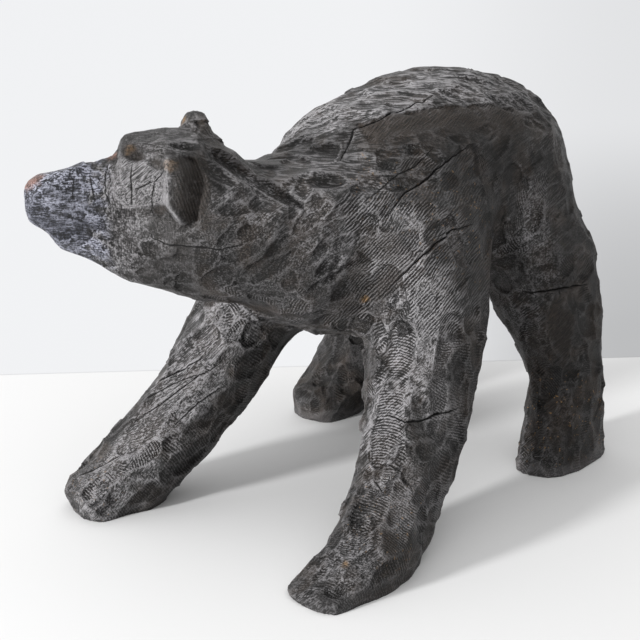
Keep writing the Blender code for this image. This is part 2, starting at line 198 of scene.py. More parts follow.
# Painted sheen and wear: where the stain is painted pale, partly rubbed and partly standing in for the light's
# sheen: near foreleg and shoulder, far foreleg, back and neck, hip, and head.
RUBBED_AND_SHEEN = [
    ((194, -87, 267), 45, 1.0), ((206, -56, 306), 40, 1.0), ((166, -117, 209), 40, 0.8),
    ((167, -142, 171), 45, 0.7), ((237, -186, 101), 50, 0.55), ((234, -290, 51), 45, 0.4),
    ((191, -61, 348), 50, 0.9), ((164, -93, 291), 36, 0.5), ((150, -80, 431), 50, 0.5),
    ((184, -3, 430), 34, 0.4), ((229, -60, 177), 45, 0.45), ((247, -105, 75), 40, 0.35),
    ((-110, -173, 269), 50, 0.8), ((-127, -200, 225), 50, 0.95), ((-141, -230, 182), 50, 0.8),
    ((-159, -276, 128), 50, 0.7), ((-170, -308, 87), 45, 0.7), ((-185, -355, 40), 45, 0.85),
    ((-33, -11, 585), 60, 0.9), ((-60, -48, 557), 50, 0.6), ((8, 32, 598), 60, 0.7),
    ((27, 81, 610), 60, 0.6), ((54, 171, 618), 70, 0.8), ((90, 250, 600), 60, 0.4),
    ((91, -94, 510), 50, 0.25), ((98, -169, 453), 50, 0.4), ((54, -179, 504), 50, 0.25),
    ((24, -246, 511), 45, 0.45), ((21, -119, 533), 40, 0.4), ((178, 230, 439), 32, 0.7),
    ((184, 224, 394), 30, 0.5), ((-139, -384, 511), 38, 1.0), ((-170, -405, 510), 38, 1.0),
    ((-121, -370, 429), 42, 0.55), ((-97, -372, 461), 40, 0.45), ((-85, -300, 585), 50, 0.35),
]
# Painted shade: where the stain is kept dark on the shaded sides, under the snout and jaw, behind the ear and
# between the legs.
PAINTED_SHADE_PATCHES = [
    ((-190, 200, 75), 95, 0.85), ((235, 250, 85), 70, 0.8), ((78, -208, 430), 45, 0.45),
    ((177, 280, 462), 60, 0.6), ((-45, -315, 395), 50, 0.6), ((20, -255, 420), 45, 0.5),
    ((150, -80, 431), 30, 0.4), ((-153, -400, 478), 42, 0.95), ((-180, -412, 480), 32, 0.8),
    ((-105, -325, 575), 28, 0.7), ((-75, -292, 580), 30, 0.6), ((-10, -305, 560), 30, 0.6),
    ((170, 130, 480), 110, 0.9), ((200, 320, 440), 90, 0.8), ((240, 330, 280), 120, 0.9),
    ((220, 290, 150), 110, 0.8), ((-110, -80, 250), 60, 0.5), ((200, 50, 380), 70, 0.4),
]
# Where flecks of bare wood are thick.
FLECKED = [
    ((225, 235, 95), 75, 1.0), ((235, 330, 60), 60, 0.9), ((170, 30, 440), 90, 0.6),
    ((235, -220, 75), 70, 0.5), ((120, -60, 500), 60, 0.4), ((-215, -345, 40), 50, 0.5),
]

# The backdrop's fold line on the floor, and the fan of directions over which a painted shadow darkens its right
# side.
FOLD_ACROSS, FOLD_DISTANCE = (-0.705, 0.709, 0.0), 0.5405
FAN_CENTRE, FAN_SIDE, FAN_AHEAD = (1.234, -1.543, 0.0), (0.766, 0.643, 0.0), (-0.643, 0.766, 0.0)
FLOOR_REACH = 16.0


class BearError(RuntimeError):
    """A step of the carving that can't be finished."""


# ---------------------------------------------------------------- working with whole arrays

def metres(millimetres):
    """Millimetres as an array of metres."""
    return np.array(millimetres, float) / 1000.0


def unit(vectors):
    """Each row divided by its own length."""
    return vectors / np.maximum(np.linalg.norm(vectors, axis=-1, keepdims=True), 1e-12)


def rise(values, low, high):
    """Runs smoothly from 0 at low to 1 at high: 3t^2 - 2t^3."""
    t = np.clip((values - low) / (high - low), 0.0, 1.0)
    return t * t * (3.0 - 2.0 * t)


def distance(points, place):
    """How far each point is from a place."""
    return np.linalg.norm(points - place, axis=1)


def lattice_noise(points, size, seed):
    """Value noise from -1 to 1: a random number at each corner of cubes `size` wide, blended between them."""
    scaled = points / size + 1000.0
    cell = np.floor(scaled).astype(np.int64)
    part = scaled - cell
    part = part * part * (3.0 - 2.0 * part)
    total = np.zeros(len(points))
    for corner in range(8):
        step = np.array([corner & 1, corner >> 1 & 1, corner >> 2 & 1])
        at = cell + step
        code = (at[:, 0] * 73856093) ^ (at[:, 1] * 19349663) ^ (at[:, 2] * 83492791) ^ (seed * 1640531527)
        code = (code ^ (code >> 13)) * 1274126177
        code = (code ^ (code >> 16)) & 0xFFFFFF
        total += np.prod(np.where(step, part, 1.0 - part), axis=1) * (code / 8388607.5 - 1.0)
    return total


def way_along(points, lines):
    """The direction, at each point, of the nearest straight stretch of any of the lines."""
    away = np.full(len(points), 1e9)
    along = np.zeros((len(points), 3))
    for line in lines:
        for start, end in zip(metres(line[:-1]), metres(line[1:])):
            reach = end - start
            share = np.clip((points - start) @ reach / (reach @ reach), 0.0, 1.0)
            gap = np.linalg.norm(points - start - share[:, None] * reach, axis=1)
            nearer = gap < away
            away[nearer] = gap[nearer]
            along[nearer] = reach / np.linalg.norm(reach)
    return along


def other_side(rows, pivot=0.0):
    """The same places, or directions where there is no pivot, on the other side of the head's middle plane."""
    return rows - 2.0 * ((rows - pivot) @ HEAD_SIDE)[..., None] * HEAD_SIDE


class Neighbourhood:
    """Points sorted into cubes, so that those near a place are found without looking at every one."""

    def __init__(self, points, size):
        self.size = size
        self.low = points.min(axis=0) - size
        cell = np.floor((points - self.low) / size).astype(np.int64)
        self.shape = cell.max(axis=0) + 2
        key = (cell[:, 0] * self.shape[1] + cell[:, 1]) * self.shape[2] + cell[:, 2]
        self.order = np.argsort(key, kind="stable")
        self.starts = np.searchsorted(key[self.order], np.arange(np.prod(self.shape) + 1))

    def near(self, place, radius):
        """The points in the cubes within radius of place."""
        low = np.maximum(np.floor((place - radius - self.low) / self.size).astype(int), 0)
        high = np.minimum(np.floor((place + radius - self.low) / self.size).astype(int), self.shape - 1)
        runs = []
        for x in range(low[0], high[0] + 1):
            for y in range(low[1], high[1] + 1):
                row = (x * self.shape[1] + y) * self.shape[2]
                runs.append(self.order[self.starts[row + low[2]]:self.starts[row + high[2] + 1]])
        return np.concatenate(runs)


# ---------------------------------------------------------------- meshes

def rows_of(items, name, width, kind=np.float32):
    """One property of a mesh's points or edges, as rows."""
    flat = np.empty(len(items) * width, kind)
    items.foreach_get(name, flat)
    return flat.reshape(-1, width)


def mesh_points(mesh):
    """The mesh's points as rows of x, y, z."""
    return rows_of(mesh.vertices, "co", 3).astype(float)


def mesh_normals(mesh):
    """The mesh's point normals as rows of x, y, z."""
    return rows_of(mesh.vertex_normals, "vector", 3).astype(float)


def mesh_edges(mesh):
    """The two ends of each edge."""
    return rows_of(mesh.edges, "vertices", 2, np.int32)


def move_points(mesh, points):
    """Puts the mesh's points where the rows say."""
    mesh.vertices.foreach_set("co", np.asarray(points, np.float32).ravel())
    mesh.update()


def neighbour_mean(values, edges, count):
    """The mean of each point's neighbours along the edges."""
    first, second = edges.T
    total = [np.bincount(first, column[second], count) + np.bincount(second, column[first], count)
             for column in values.T]
    number = np.bincount(first, minlength=count) + np.bincount(second, minlength=count)
    return np.stack(total, axis=1) / np.maximum(number, 1)[:, None]


def relaxed(values, edges, rounds, forward=0.5, back=-0.52, mask=None):
    """Each row goes part of the way to its neighbours' mean, then back a bit further, which keeps the volume."""
    weight = 1.0 if mask is None else mask[:, None]
    for _ in range(rounds):
        for share in (forward, back):
            if share:
                values = values + share * weight * (neighbour_mean(values, edges, len(values)) - values)
    return values


def new_object(name, mesh):
    """An object at the origin in the scene."""
    obj = bpy.data.objects.new(name, mesh)
    bpy.context.scene.collection.objects.link(obj)
    return obj


def applied(mesh, kind, **settings):
    """The mesh with one modifier applied."""
    obj = new_object("work", mesh)
    modifier = obj.modifiers.new(kind.title(), kind)
    for name, value in settings.items():
        setattr(modifier, name, value)
    graph = bpy.context.evaluated_depsgraph_get()
    finished = obj.evaluated_get(graph)
    result = bpy.data.meshes.new_from_object(finished, preserve_all_data_layers=True, depsgraph=graph)
    bpy.data.objects.remove(obj)
    return result


def solid_skin(cell):
    """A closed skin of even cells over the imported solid: its loose triangles are merged and remeshed."""
    work = bmesh.new()
    work.from_mesh(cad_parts["bear"].data)
    bmesh.ops.remove_doubles(work, verts=work.verts, dist=1e-5)
    merged = bpy.data.meshes.new("merged")
    work.to_mesh(merged)
    work.free()
    return applied(merged, "REMESH", mode="VOXEL", voxel_size=cell, adaptivity=0.0)


def surface_tree(mesh):
    """What finds the mesh's nearest place to any other."""
    work = bmesh.new()
    work.from_mesh(mesh)
    tree = BVHTree.FromBMesh(work)
    work.free()
    return tree


# ---------------------------------------------------------------- where on the bear a place is

def regions(points, normals):
    """How far each point belongs to the back, flanks, head, snout, neck and legs, from 0 to 1."""
    y, z = points[:, 1], points[:, 2]
    from_pivot = points - HEAD_PIVOT
    forward = from_pivot @ HEAD_FORWARD
    head = rise(forward, 0.0, 0.03) * rise(from_pivot @ HEAD_UP, -0.11, -0.07)
    part = {"head": head, "snout": rise(forward, *SNOUT_START) * head, "forward": forward}
    part["back"] = rise(normals[:, 2] + 2.5 * (z - 0.55), 0.35, 0.62) * rise(z, 0.46, 0.52) * (1 - head)
    part["neck"] = (1 - head) * rise(-y, 0.09, 0.17) * rise(z, 0.36, 0.40)
    part["leg"] = rise(-z, -0.34, -0.26)
    part["leg_direction"] = way_along(points, LEG_LINES)
    part["flank"] = (1 - part["leg"]) * (1 - head) * (1 - part["back"]) * (1 - part["neck"])
    return part


def blobs(points, spots, wobble):
    """Soft round patches: strength falls off from 1 in the middle to 0 at the reach, with an uneven edge."""
    total = np.zeros(len(points))
    for middle, reach, strength in spots:
        away = distance(points, metres(middle)) / metres(reach)
        total = np.maximum(total, strength * rise(1.15 + 0.45 * wobble - away, 0.0, 0.35))
    return total


def smooth_flank(points):
    """The flank's smooth band: 1 from the back's edge down to its width, between the shoulder and the rump."""
    down = (points - FLANK_EDGE) @ FLANK_DOWN + 0.0025 * lattice_noise(points, 0.025, 11)
    y = points[:, 1] + 0.35 * down
    ends = rise(y, -0.034, -0.028) * rise(0.27 - y, 0.0, 0.03)
    return rise(down, -0.0008, 0.0016) * rise(FLANK_WIDTH - down, 0.0, 0.035) * ends * (points[:, 0] > 0.0)


# ---------------------------------------------------------------- saw cuts and cracks

def cut_plan(points, normals, rng, amount):
    """Where the saw touched: each cut's point, direction, half sizes, depth, flatness, tilt and lean.

    The last value is how far a surface may turn away from the cut's plane and still be cut by it, as a cosine.
    """
    pick = rng.integers(0, len(points), amount)
    place, facing = points[pick], normals[pick]
    part = regions(place, facing)
    usual = sum(part[name][:, None] * np.array(row) for name, row in USUAL_CUTS.items())
    length, width, depth, stray, lean, more = usual.T
    ways = {"flank": GRAIN, "neck": NECK_SWEEP, "back": BACK_SWEEP, "leg": part["leg_direction"],
            "head": HEAD_FORWARD}
    direction = sum(way * part[name][:, None] for name, way in ways.items())
    turn = rng.normal(0.0, 1.0, amount) * np.radians(stray)
    direction = unit(direction - (direction * facing).sum(axis=1)[:, None] * facing)
    direction = direction * np.cos(turn)[:, None] + np.cross(facing, direction) * np.sin(turn)[:, None]
    size = rng.uniform(0.75, 1.35, amount)
    length, width = size * length * MM, size * width * MM
    depth = rng.uniform(0.6, 1.3, amount) * depth * MM
    # Cuts are shallow at the nape and on the near side of the face, whose forms are made on purpose.
    depth *= 1.0 - 0.75 * rise(1.0 - distance(place, NAPE) / NAPE_CALM, 0.0, 0.35)
    across, up, out = on_face(place)
    on_cheek = rise(1.3 - np.hypot((across + 30.0) / 85.0, up / 62.0), 0.0, 0.2) * (out > BEHIND_CHEEK)
    depth *= 1.0 - 0.75 * on_cheek
    keep = rng.random(amount) < np.clip(ROOM_PER_CUT / (length * width), 0.0, 1.0) * (0.65 + more)
    flatness = 1.0 + 1.6 * (1 - part["back"])
    tilt = rng.uniform(-0.8, 0.8, amount)
    lean = rng.normal(0.0, 1.0, amount) * lean
    keep &= (smooth_flank(place) < 0.3) & (distance(place, FAR_EAR) > FAR_EAR_REACH)
    values = (pick, direction, length, width, depth, flatness, tilt, lean, np.full(amount, 0.5))
    return [value[keep] for value in values]


def named_plan(points, normals):
    """The cuts made on purpose, in the same terms."""
    plan = []
    for place, direction, length, width, depth, flatness, tilt in NAMED_CUTS:
        pick = int(np.argmin(((points - metres(place)) ** 2).sum(axis=1)))
        direction = unit(direction - (direction @ normals[pick]) * normals[pick])
        plan.append((pick, direction, length * MM, width * MM, depth * MM, flatness, tilt, 0.0, 0.05))
    return [list(column) for column in zip(*plan)]


def spared(points, normals, plan, named):
    """The random cuts whose middle isn't in a smooth cut: inside 0.9 of its ellipse and 12 mm of its plane."""
    keep = np.ones(len(plan[0]), bool)
    for number in range(SMOOTH_CUTS):
        pick, direction, length, width = (column[number] for column in named[:4])
        facing = normals[pick]
        apart = points[plan[0]] - points[pick]
        u, v, w = apart @ direction, apart @ np.cross(facing, direction), apart @ facing
        keep &= ((u / length) ** 2 + (v / width) ** 2 > 0.9) | (np.abs(w) > 0.012)
    return [column[keep] for column in plan]


def saw_cuts(points, normals, plan):
    """The lowest of all the cuts at each point.

    A cut is a shallow dish on the plane that touches the surface at its middle: -depth + depth *
    r^(2 * flatness), where r is 1 on an ellipse along the saw, leaning a little to one side. Cuts meet in
    sharp ridges, as the lowest one holds. Also gives how near a point is to such a ridge, which cut it is in,
    and how far along that cut it lies.
    """
    count = len(points)
    lowest, second, along = (np.zeros(count) for _ in range(3))
    owner = np.full(count, -1)
    near = Neighbourhood(points, 0.02)
    for number, (pick, direction, length, width, depth, flatness, tilt, lean, turned) in enumerate(zip(*plan)):
        middle, facing = points[pick], normals[pick]
        index = near.near(middle, length)
        apart = points[index] - middle
        u, v, w = apart @ direction, apart @ np.cross(facing, direction), apart @ facing
        agree = normals[index] @ facing
        r2 = (u / length) ** 2 + (v / width) ** 2
        inside = (r2 < 1.0) & (agree > turned) & (np.abs(w) < CUT_REACH)
        index, u, v, w, agree, r2 = (value[inside] for value in (index, u, v, w, agree, r2))
        dish = depth * (r2 ** flatness - 1.0) * (1.0 + tilt * u / length) + lean * v
        level = np.clip((dish - w) / np.maximum(agree, 0.4), -1.7 * depth, 0.0)
        first = level < lowest[index]
        deeper = index[first]
        second[deeper] = lowest[deeper]
        lowest[deeper] = level[first]
        owner[deeper] = number
        # Tooth marks bow across a cut, so their count runs back at its sides.
        along[deeper] = u[first] - 9.0 * v[first] ** 2
        rest, rest_level = index[~first], level[~first]
        second[rest] = np.minimum(second[rest], rest_level)
    ridge = np.exp(-(second - lowest) / RIDGE_DROP) * (lowest < -1e-5)
    return lowest, ridge, owner, along


def crack_lines(tree, rng):
    """Each crack as points on the surface that wander a little from its course, with its width and depth."""
    for course, width, depth in CRACKS:
        course = metres(course)
        steps = []
        for start, end in zip(course[:-1], course[1:]):
            share = np.linspace(0, 1, max(2, int(np.linalg.norm(end - start) / CRACK_STEP)), endpoint=False)
            steps.append(share[:, None] * (end - start) + start)
        path = np.concatenate(steps + [course[-1:]])
        wander = np.convolve(rng.normal(0.0, 1.0, len(path) + 4), np.ones(5) / 5, mode="valid") * CRACK_WANDER
        facing = np.array([tree.find_nearest(Vector(place))[1][:] for place in path])
        path = path + np.cross(facing, unit(np.gradient(path, axis=0))) * wander[:, None]
        yield np.array([tree.find_nearest(Vector(place))[0][:] for place in path]), width * MM, depth * MM


def crack_cuts(points, normals, lines):
    """A V-shaped groove along each crack: depth * (1 - distance / half width), narrowing to nothing at its ends.

    Also gives each point's distance to the nearest crack, negative on one side of it, and half the crack's
    width there, both in millimetres: the dark line is drawn where the distance is less than half the width,
    so it can be thinner than the mesh's cells.
    """
    groove, nearest = np.zeros(len(points)), np.full(len(points), CRACK_REACH)
    side, half_width = np.full(len(points), CRACK_REACH / MM), np.zeros(len(points))
    near = Neighbourhood(points, 0.01)
    for path, width, depth in lines:
        index = np.unique(np.concatenate([near.near(place, 0.010) for place in path]))
        kept_depth = (-0.6 if width > WIDE_CRACK * MM else -0.25) * depth
        for number, (start, end) in enumerate(zip(path[:-1], path[1:])):
            reach = end - start
            share = np.clip((points[index] - start) @ reach / max(reach @ reach, 1e-12), 0.0, 1.0)
            apart = points[index] - start - share[:, None] * reach
            away = np.linalg.norm(apart, axis=1)
            half = 0.5 * width * np.sin(np.pi * ((number + share) / (len(path) - 1))) ** 0.5
            closer = away < nearest[index]
            at, away, half = index[closer], away[closer], half[closer]
            nearest[at] = away
            side[at] = (apart[closer] * unit(np.cross(normals[at], reach))).sum(axis=1) / MM
            half_width[at] = half * (away < WIDTH_REACH) / MM
            falloff = np.clip(1.0 - away / (1.4 * np.maximum(NARROW_GROOVE, half)), 0.0, 1.0)
            groove[at] = kept_depth * (half / (0.5 * width)) * falloff
    return groove, side, half_width


# ---------------------------------------------------------------- the form under the relief

def pushed(points):
    """Each small correction moves the points near its middle, falling off as (1 - r^2)^2."""
    moved = points.copy()
    for middle, reach, shift in PUSHES:
        r2 = ((points - metres(middle)) ** 2).sum(axis=1) / metres(reach) ** 2
        moved += np.clip(1.0 - r2, 0.0, 1.0)[:, None] ** 2 * metres(shift)
    return moved


def on_face(points):
    """How far each point lies across, up and out of the near side of the face, in millimetres."""
    apart = (points - FACE_MIDDLE) / MM
    return apart @ FACE_ACROSS, apart @ FACE_UP, apart @ FACE_OUT


def within_face(across, out):
    """Whether a place belongs to this side of the face."""
    return (out > BEHIND_HEAD) * (np.abs(across + 30.0) < 110.0)


def plate_edge(across, up):
    """The distance outside the cheek plate's nearest side, negative inside. Its corners run anticlockwise."""
    away = np.full(len(across), -1e9)
    for (x0, y0), (x1, y1) in zip(CHEEK_PLATE, np.roll(CHEEK_PLATE, -1, axis=0)):
        over = (across - x0) * (y1 - y0) - (up - y0) * (x1 - x0)
        away = np.maximum(away, over / math.hypot(x1 - x0, y1 - y0))
    return away


def in_hollow(across, up, hollow):
    """The place in a hollow of the face on the hollow's own axes, as shares of its half sizes."""
    middle_x, middle_y, half_x, half_y, degrees = hollow[:5]
    x, y = across - middle_x, up - middle_y
    c, k = math.cos(math.radians(degrees)), math.sin(math.radians(degrees))
    return (x * c + y * k) / half_x, (y * c - x * k) / half_y


def ear_outline(across, up):
    """The share of the way over the ear's hollow, from its front rim to the neck, and the distance from that rim.

    Also gives how much of the hollow holds at this height.
    """
    front = -27.0 + 0.66 * np.maximum(0.0, -22.0 - up)
    behind = 26.0 * np.sqrt(np.clip(1.0 - ((up + 2.0) / 49.0) ** 2, 0.0, 1.0)) + 1.0
    share = (across - front) / np.maximum(behind - front, 6.0)
    return share, across - front, rise(45.0 - up, 0.0, 9.0) * rise(up + 54.0, 0.0, 14.0)


def face_forms(across, up, with_ear):
    """The height of the carved face over the plain head, in millimetres.

    Ear: a rim at the front, falling steadily to the deepest place and then up again to the neck.
    Plate: raised inside its outline, most along its foot. Hollows: depth * (1 - r^(2 * flatness)) on an
    ellipse.
    """
    inside = rise(-plate_edge(across, up), -0.5, 2.0)
    height = inside * (0.3 + 3.6 * rise(34.0 - up, 0.0, 50.0))
    for hollow in FACE_HOLLOWS:
        x, y = in_hollow(across, up, hollow)
        depth, flatness, lean = hollow[5:]
        height -= depth * np.clip(1.0 - (x ** 2 + y ** 2) ** flatness, 0.0, 1.0) * (1.0 + lean * x)
    if with_ear:
        share, from_rim, holds = ear_outline(across, up)
        down = EAR_RIM - (EAR_RIM + EAR_DEPTH) * share / EAR_DEEPEST
        slope = np.where(share < EAR_DEEPEST, down, -EAR_DEPTH * (1.0 - share) / (1.0 - EAR_DEEPEST))
        outside = EAR_RIM * np.clip(1.0 + from_rim / 5.0, 0.0, 1.0)
        height += holds * np.where(share < 0.0, outside, np.where(share < 1.0, slope, 0.0))
    return height


def shaped_head(points, normals, edges):
    """Relaxes the nape and the solid's plain near ear to a smooth sheet, then makes the face's forms."""
    nape = rise(1.0 - distance(points, NAPE) / NAPE_REACH, 0.0, 0.4)
    points = relaxed(points, edges, 20, back=0.0, mask=nape)
    across, up, out = on_face(points)
    patch = rise(1.15 - np.sqrt(((across + 6.0) / 34.0) ** 2 + ((up + 3.0) / 56.0) ** 2), 0.0, 0.15)
    patch = patch * (out > BEHIND_CHEEK)
    local = np.isin(edges, np.flatnonzero(patch > 0)).any(axis=1)
    used, renumbered = np.unique(edges[local], return_inverse=True)
    sheet = relaxed(points[used], renumbered.reshape(-1, 2), 500, back=0.0, mask=patch[used])
    points = points.copy()
    points[used] = sheet
    total = np.zeros_like(points)
    for near_side in (True, False):
        across, up, out = on_face(points if near_side else other_side(points, HEAD_PIVOT))
        front = rise((normals if near_side else other_side(normals)) @ FACE_OUT, 0.05, 0.3)
        if near_side:
            front = np.maximum(front, patch)
        height = face_forms(across, up, near_side) * front * within_face(across, out) * MM
        total += height[:, None] * (FACE_OUT if near_side else other_side(FACE_OUT))
    return points + total


def shaped_skin(mesh, settings):
    """The skin smoothed, with the small corrections and the face's forms in it, in new even cells.

    Gives its mesh, edges, points and smooth normals.
    """
    edges = mesh_edges(mesh)
    points = relaxed(pushed(mesh_points(mesh)), edges, settings.relax_rounds)
    move_points(mesh, points)
    move_points(mesh, shaped_head(points, mesh_normals(mesh), edges))
    mesh = applied(mesh, "REMESH", mode="VOXEL", voxel_size=settings.cell, adaptivity=0.0)
    edges = mesh_edges(mesh)
    points = relaxed(mesh_points(mesh), edges, 2)
    move_points(mesh, points)
    return mesh, edges, points, unit(relaxed(mesh_normals(mesh), edges, 3, back=0.0))


# ---------------------------------------------------------------- the relief, and what the stain follows

def face_marks(points, normals):
    """Painted highlights on the face's edges, its pale plate and its hollows, which get painted shade, from 0 to
    1, and the line the ear's marks follow.
    """
    edge, plate, deep, scored = (np.zeros(len(points)) for _ in range(4))
    for over, facing in ((points, normals), (other_side(points, HEAD_PIVOT), other_side(normals))):
        across, up, out = on_face(over)
        seen = rise(facing @ FACE_OUT, 0.0, 0.3) * within_face(across, out)
        outside = plate_edge(across, up)
        share, from_rim, holds = ear_outline(across, up)
        rim = np.exp(-((from_rim - 0.5) / 1.8) ** 2) * holds
        foot = np.exp(-(outside / 1.8) ** 2) * rise(14.0 - up, 0.0, 16.0)
        edge = np.maximum(edge, seen * np.maximum(foot, rim))
        plate = np.maximum(plate, seen * rise(-outside, -1.0, 3.0))
        inner_ear = seen * rise(share, 0.04, 0.45) * rise(1.10 - share, 0.0, 0.10) * holds
        deep = np.maximum(deep, inner_ear)
        scored = np.where(inner_ear > 0.02, (0.93 * across + 0.30 * up) * MM, scored)
        for hollow in FACE_HOLLOWS:
            x, y = in_hollow(across, up, hollow)
            r, depth = np.hypot(x, y), hollow[5]
            deep = np.maximum(deep, seen * rise(1.0 - r, 0.0, 0.35) * rise(depth, 1.0, 6.0))
            lip = np.exp(-((r - 1.10) / 0.13) ** 2) * rise(-y, 0.0, 0.5) * rise(depth, 5.0, 8.0)
            edge = np.maximum(edge, seen * lip)
    return edge, plate, deep, scored


def tooth_marks(points, normals, part, marks, along, inner, scored):
    """How strong the marks of the chain's teeth are, and the line that they are counted along.

    They are strongest on the sides of the chest, patchy on the sides and backs of the forelegs, weaker in the
    ear's hollow and on the flank's smooth band, and else show in one cut of three.
    """
    x, y = normals[:, 0], points[:, 1]
    leg, head, back, neck = (part[name] for name in ("leg", "head", "back", "neck"))
    wild = 1.0 - marks["calm"]
    warp = 0.0022 * lattice_noise(points, 0.03, 4) + 0.006 * lattice_noise(points, 0.12, 5)
    flank_line = points @ TOOTH_LINE + warp
    leg_line = (points * part["leg_direction"]).sum(axis=1) + 0.007 * lattice_noise(points, 0.05, 8) + warp
    trunk = ((1 - leg) * (1 - head) * (1 - back) * rise(0.13 - y, 0.0, 0.06) * rise(y + 0.16, 0.0, 0.03)
             * rise(np.abs(x), 0.25, 0.5) * wild)
    patchy = lattice_noise(points, 0.045, 7)
    comb = np.clip(trunk * (1.0 + 0.6 * patchy), 0.0, 1.0)
    comb = np.maximum(comb, np.clip(inner * (0.45 + 0.5 * patchy) * rise(0.10 - y, 0.0, 0.04), 0.0, 1.0))
    comb = np.maximum(comb, 0.30 * marks["band"])
    one_in_three = (marks["facet"] > 0.66) * (1 - back) * (1 - 0.8 * head) * (1 - 0.8 * neck) * wild
    comb = np.maximum(comb, 0.6 * one_in_three)
    comb = np.maximum(comb * (1.0 - head), 0.5 * marks["deep"] * (scored != 0.0))
    line = np.where(inner > 0.3, leg_line, np.where(scored != 0.0, scored, along))
    return comb, np.where((trunk > 0.3) | (marks["band"] > 0.02), flank_line, line)


def carve(mesh, settings):
    """Cuts the relief into the skin, and keeps what the stain needs to know of it as attributes."""
    rng = np.random.default_rng(settings.seed)
    mesh, edges, points, normals = shaped_skin(mesh, settings)
    part = regions(points, normals)
    tree = surface_tree(mesh)
    z = points[:, 2]

    named = named_plan(points, normals)
    plan = spared(points, normals, cut_plan(points, normals, rng, settings.cuts), named)
    first_named = len(plan[0])
    plan = [list(column) + more for column, more in zip(plan, named)]
    lowest, ridge, owner, along = saw_cuts(points, normals, plan)
    groove, crack_side, crack_half = crack_cuts(points, normals, list(crack_lines(tree, rng)))

    # Torn fibres between the cuts: pits a few millimetres wide on the neck, chest and legs.
    band = smooth_flank(points)
    calm = np.maximum(((owner >= first_named) & (owner < first_named + SMOOTH_CUTS)).astype(float), band)
    facet = rng.random(len(plan[0]) + 1)[owner]
    low_neck = part["neck"] * rise(0.46 - z, 0.0, 0.06)
    ear_tip = rise(FAR_EAR_REACH - distance(points, FAR_EAR), 0.0, 0.006)
    pitted = (0.10 - 0.10 * part["neck"] + 0.70 * low_neck + 0.40 * part["leg"] + 0.22 * part["head"]
              + 0.8 * lattice_noise(points, 0.055, 1) + 0.5 * (facet - 0.5))
    pitted = np.clip(pitted - 0.35 * part["back"], 0.0, 1.0) * (1.0 - 0.8 * calm) * (1.0 - 0.8 * ear_tip)
    fine = 0.6 * lattice_noise(points, 0.0085, 2) + 0.4 * lattice_noise(points, 0.0050, 3)
    relief = (lowest * settings.cut_strength + groove + fine * (0.10 + 0.70 * pitted) * MM
              + settings.stock * (1.0 - ear_tip) - FLANK_DEPTH * band)
    level = relaxed(relief[:, None], edges, 2, forward=0.7, back=0.0)[:, 0]
    # The relief fades out at the floor, and the soles stay flat.
    moved = points + normals * (relief * rise(z, *FLOOR_FADE))[:, None]
    moved[:, 2] = np.maximum(moved[:, 2], 0.0)
    moved[(z < SOLE_TOP) & (normals[:, 2] < -0.6), 2] = 0.0
    move_points(mesh, moved)

    wobble = lattice_noise(points, 0.009, 6)
    edge, plate, deep, scored = face_marks(points, normals)
    inner = part["leg"] * rise(normals[:, 1], -0.62, -0.42)
    marks = {
        # Crests: painted highlight on the relief's crests and painted shade in its hollows.
        "ridge": ridge, "crest": np.clip((relief - level) / CREST, -0.45, 1.0), "facet": facet,
        "pitted": pitted, "crack_side": crack_side, "crack_half": crack_half, "band": band, "calm": calm,
        # Face's edges: painted highlights. Face's hollows: painted shade.
        "edge": edge, "plate": plate, "deep": deep, "head": part["head"], "leg": part["leg"],
        "back": part["back"] * (1.0 - band),
        "snout": part["snout"] * rise(0.05 * wobble + part["forward"], *SNOUT_START),
        "crown": part["head"] * rise(normals @ HEAD_UP, 0.35, 0.60) * (1.0 - deep),
        "rim": (part["leg"] * (0.35 + 0.65 * rise(points[:, 1], 0.0, 0.1))
                * rise(0.020 - z + 0.010 * lattice_noise(points, 0.02, 9), 0.0, 0.004)),
        "bare": blobs(points, BARE_WOOD, wobble), "clay": blobs(points, RED_CLAY, wobble),
        # Rubbed patches: painted sheen over worn stain.
        "flecked": blobs(points, FLECKED, wobble), "rubbed": blobs(points, RUBBED_AND_SHEEN, wobble),
        # Painted shade: kept dark on the shaded sides, in the face's hollows, on the flank's smooth band and low
        # on the legs' inner sides.
        "thick": np.clip(blobs(points, PAINTED_SHADE_PATCHES, wobble) + 0.6 * deep + 0.85 * band
                         + 0.55 * inner * rise(0.30 - z, 0.0, 0.05), 0.0, 1.0),
    }
    marks["comb"], marks["comb_line"] = tooth_marks(points, normals, part, marks, along, inner, scored)
    for name, values in marks.items():
        layer = mesh.attributes.new(name, "FLOAT", "POINT")
        layer.data.foreach_set("value", np.asarray(values, np.float32))
    return mesh


# ---------------------------------------------------------------- materials

def linear(code):
    """An sRGB hex colour as linear red, green, blue and alpha."""
    parts = [int(code[i:i + 2], 16) / 255.0 for i in (1, 3, 5)]
    return [part / 12.92 if part <= 0.04045 else ((part + 0.055) / 1.055) ** 2.4 for part in parts] + [1.0]


def add_node(tree, kind, settings=None, inputs=(), out=0):
    """Adds one node with its settings, gives each input its value or its link, and returns one output.

    The inputs are a dict by the sockets' names or numbers, or a tuple in the sockets' order.
    """
    node = tree.nodes.new("ShaderNode" + kind)
    for name, value in (settings or {}).items():
        setattr(node, name, value)
    for name, value in (inputs if isinstance(inputs, dict) else dict(enumerate(inputs))).items():
        if isinstance(value, bpy.types.NodeSocket):
            tree.links.new(value, node.inputs[name])
        else:
            node.inputs[name].default_value = value
    return node.outputs[out] if node.outputs else node


def empty_material(name):
    """A new material with no nodes, and its tree."""
    material = bpy.data.materials.new(name)
    material.use_nodes = True
    material.node_tree.nodes.clear()
    return material, material.node_tree


PLUS, MINUS, TIMES, TIMES_PLUS, OVER, GREATER, SIZE_OF, SINE, DOT = (
    {"operation": name} for name in
    ("ADD", "SUBTRACT", "MULTIPLY", "MULTIPLY_ADD", "DIVIDE", "MAXIMUM", "ABSOLUTE", "SINE", "DOT_PRODUCT"))
CLAMPED = {"operation": "MULTIPLY_ADD", "use_clamp": True}
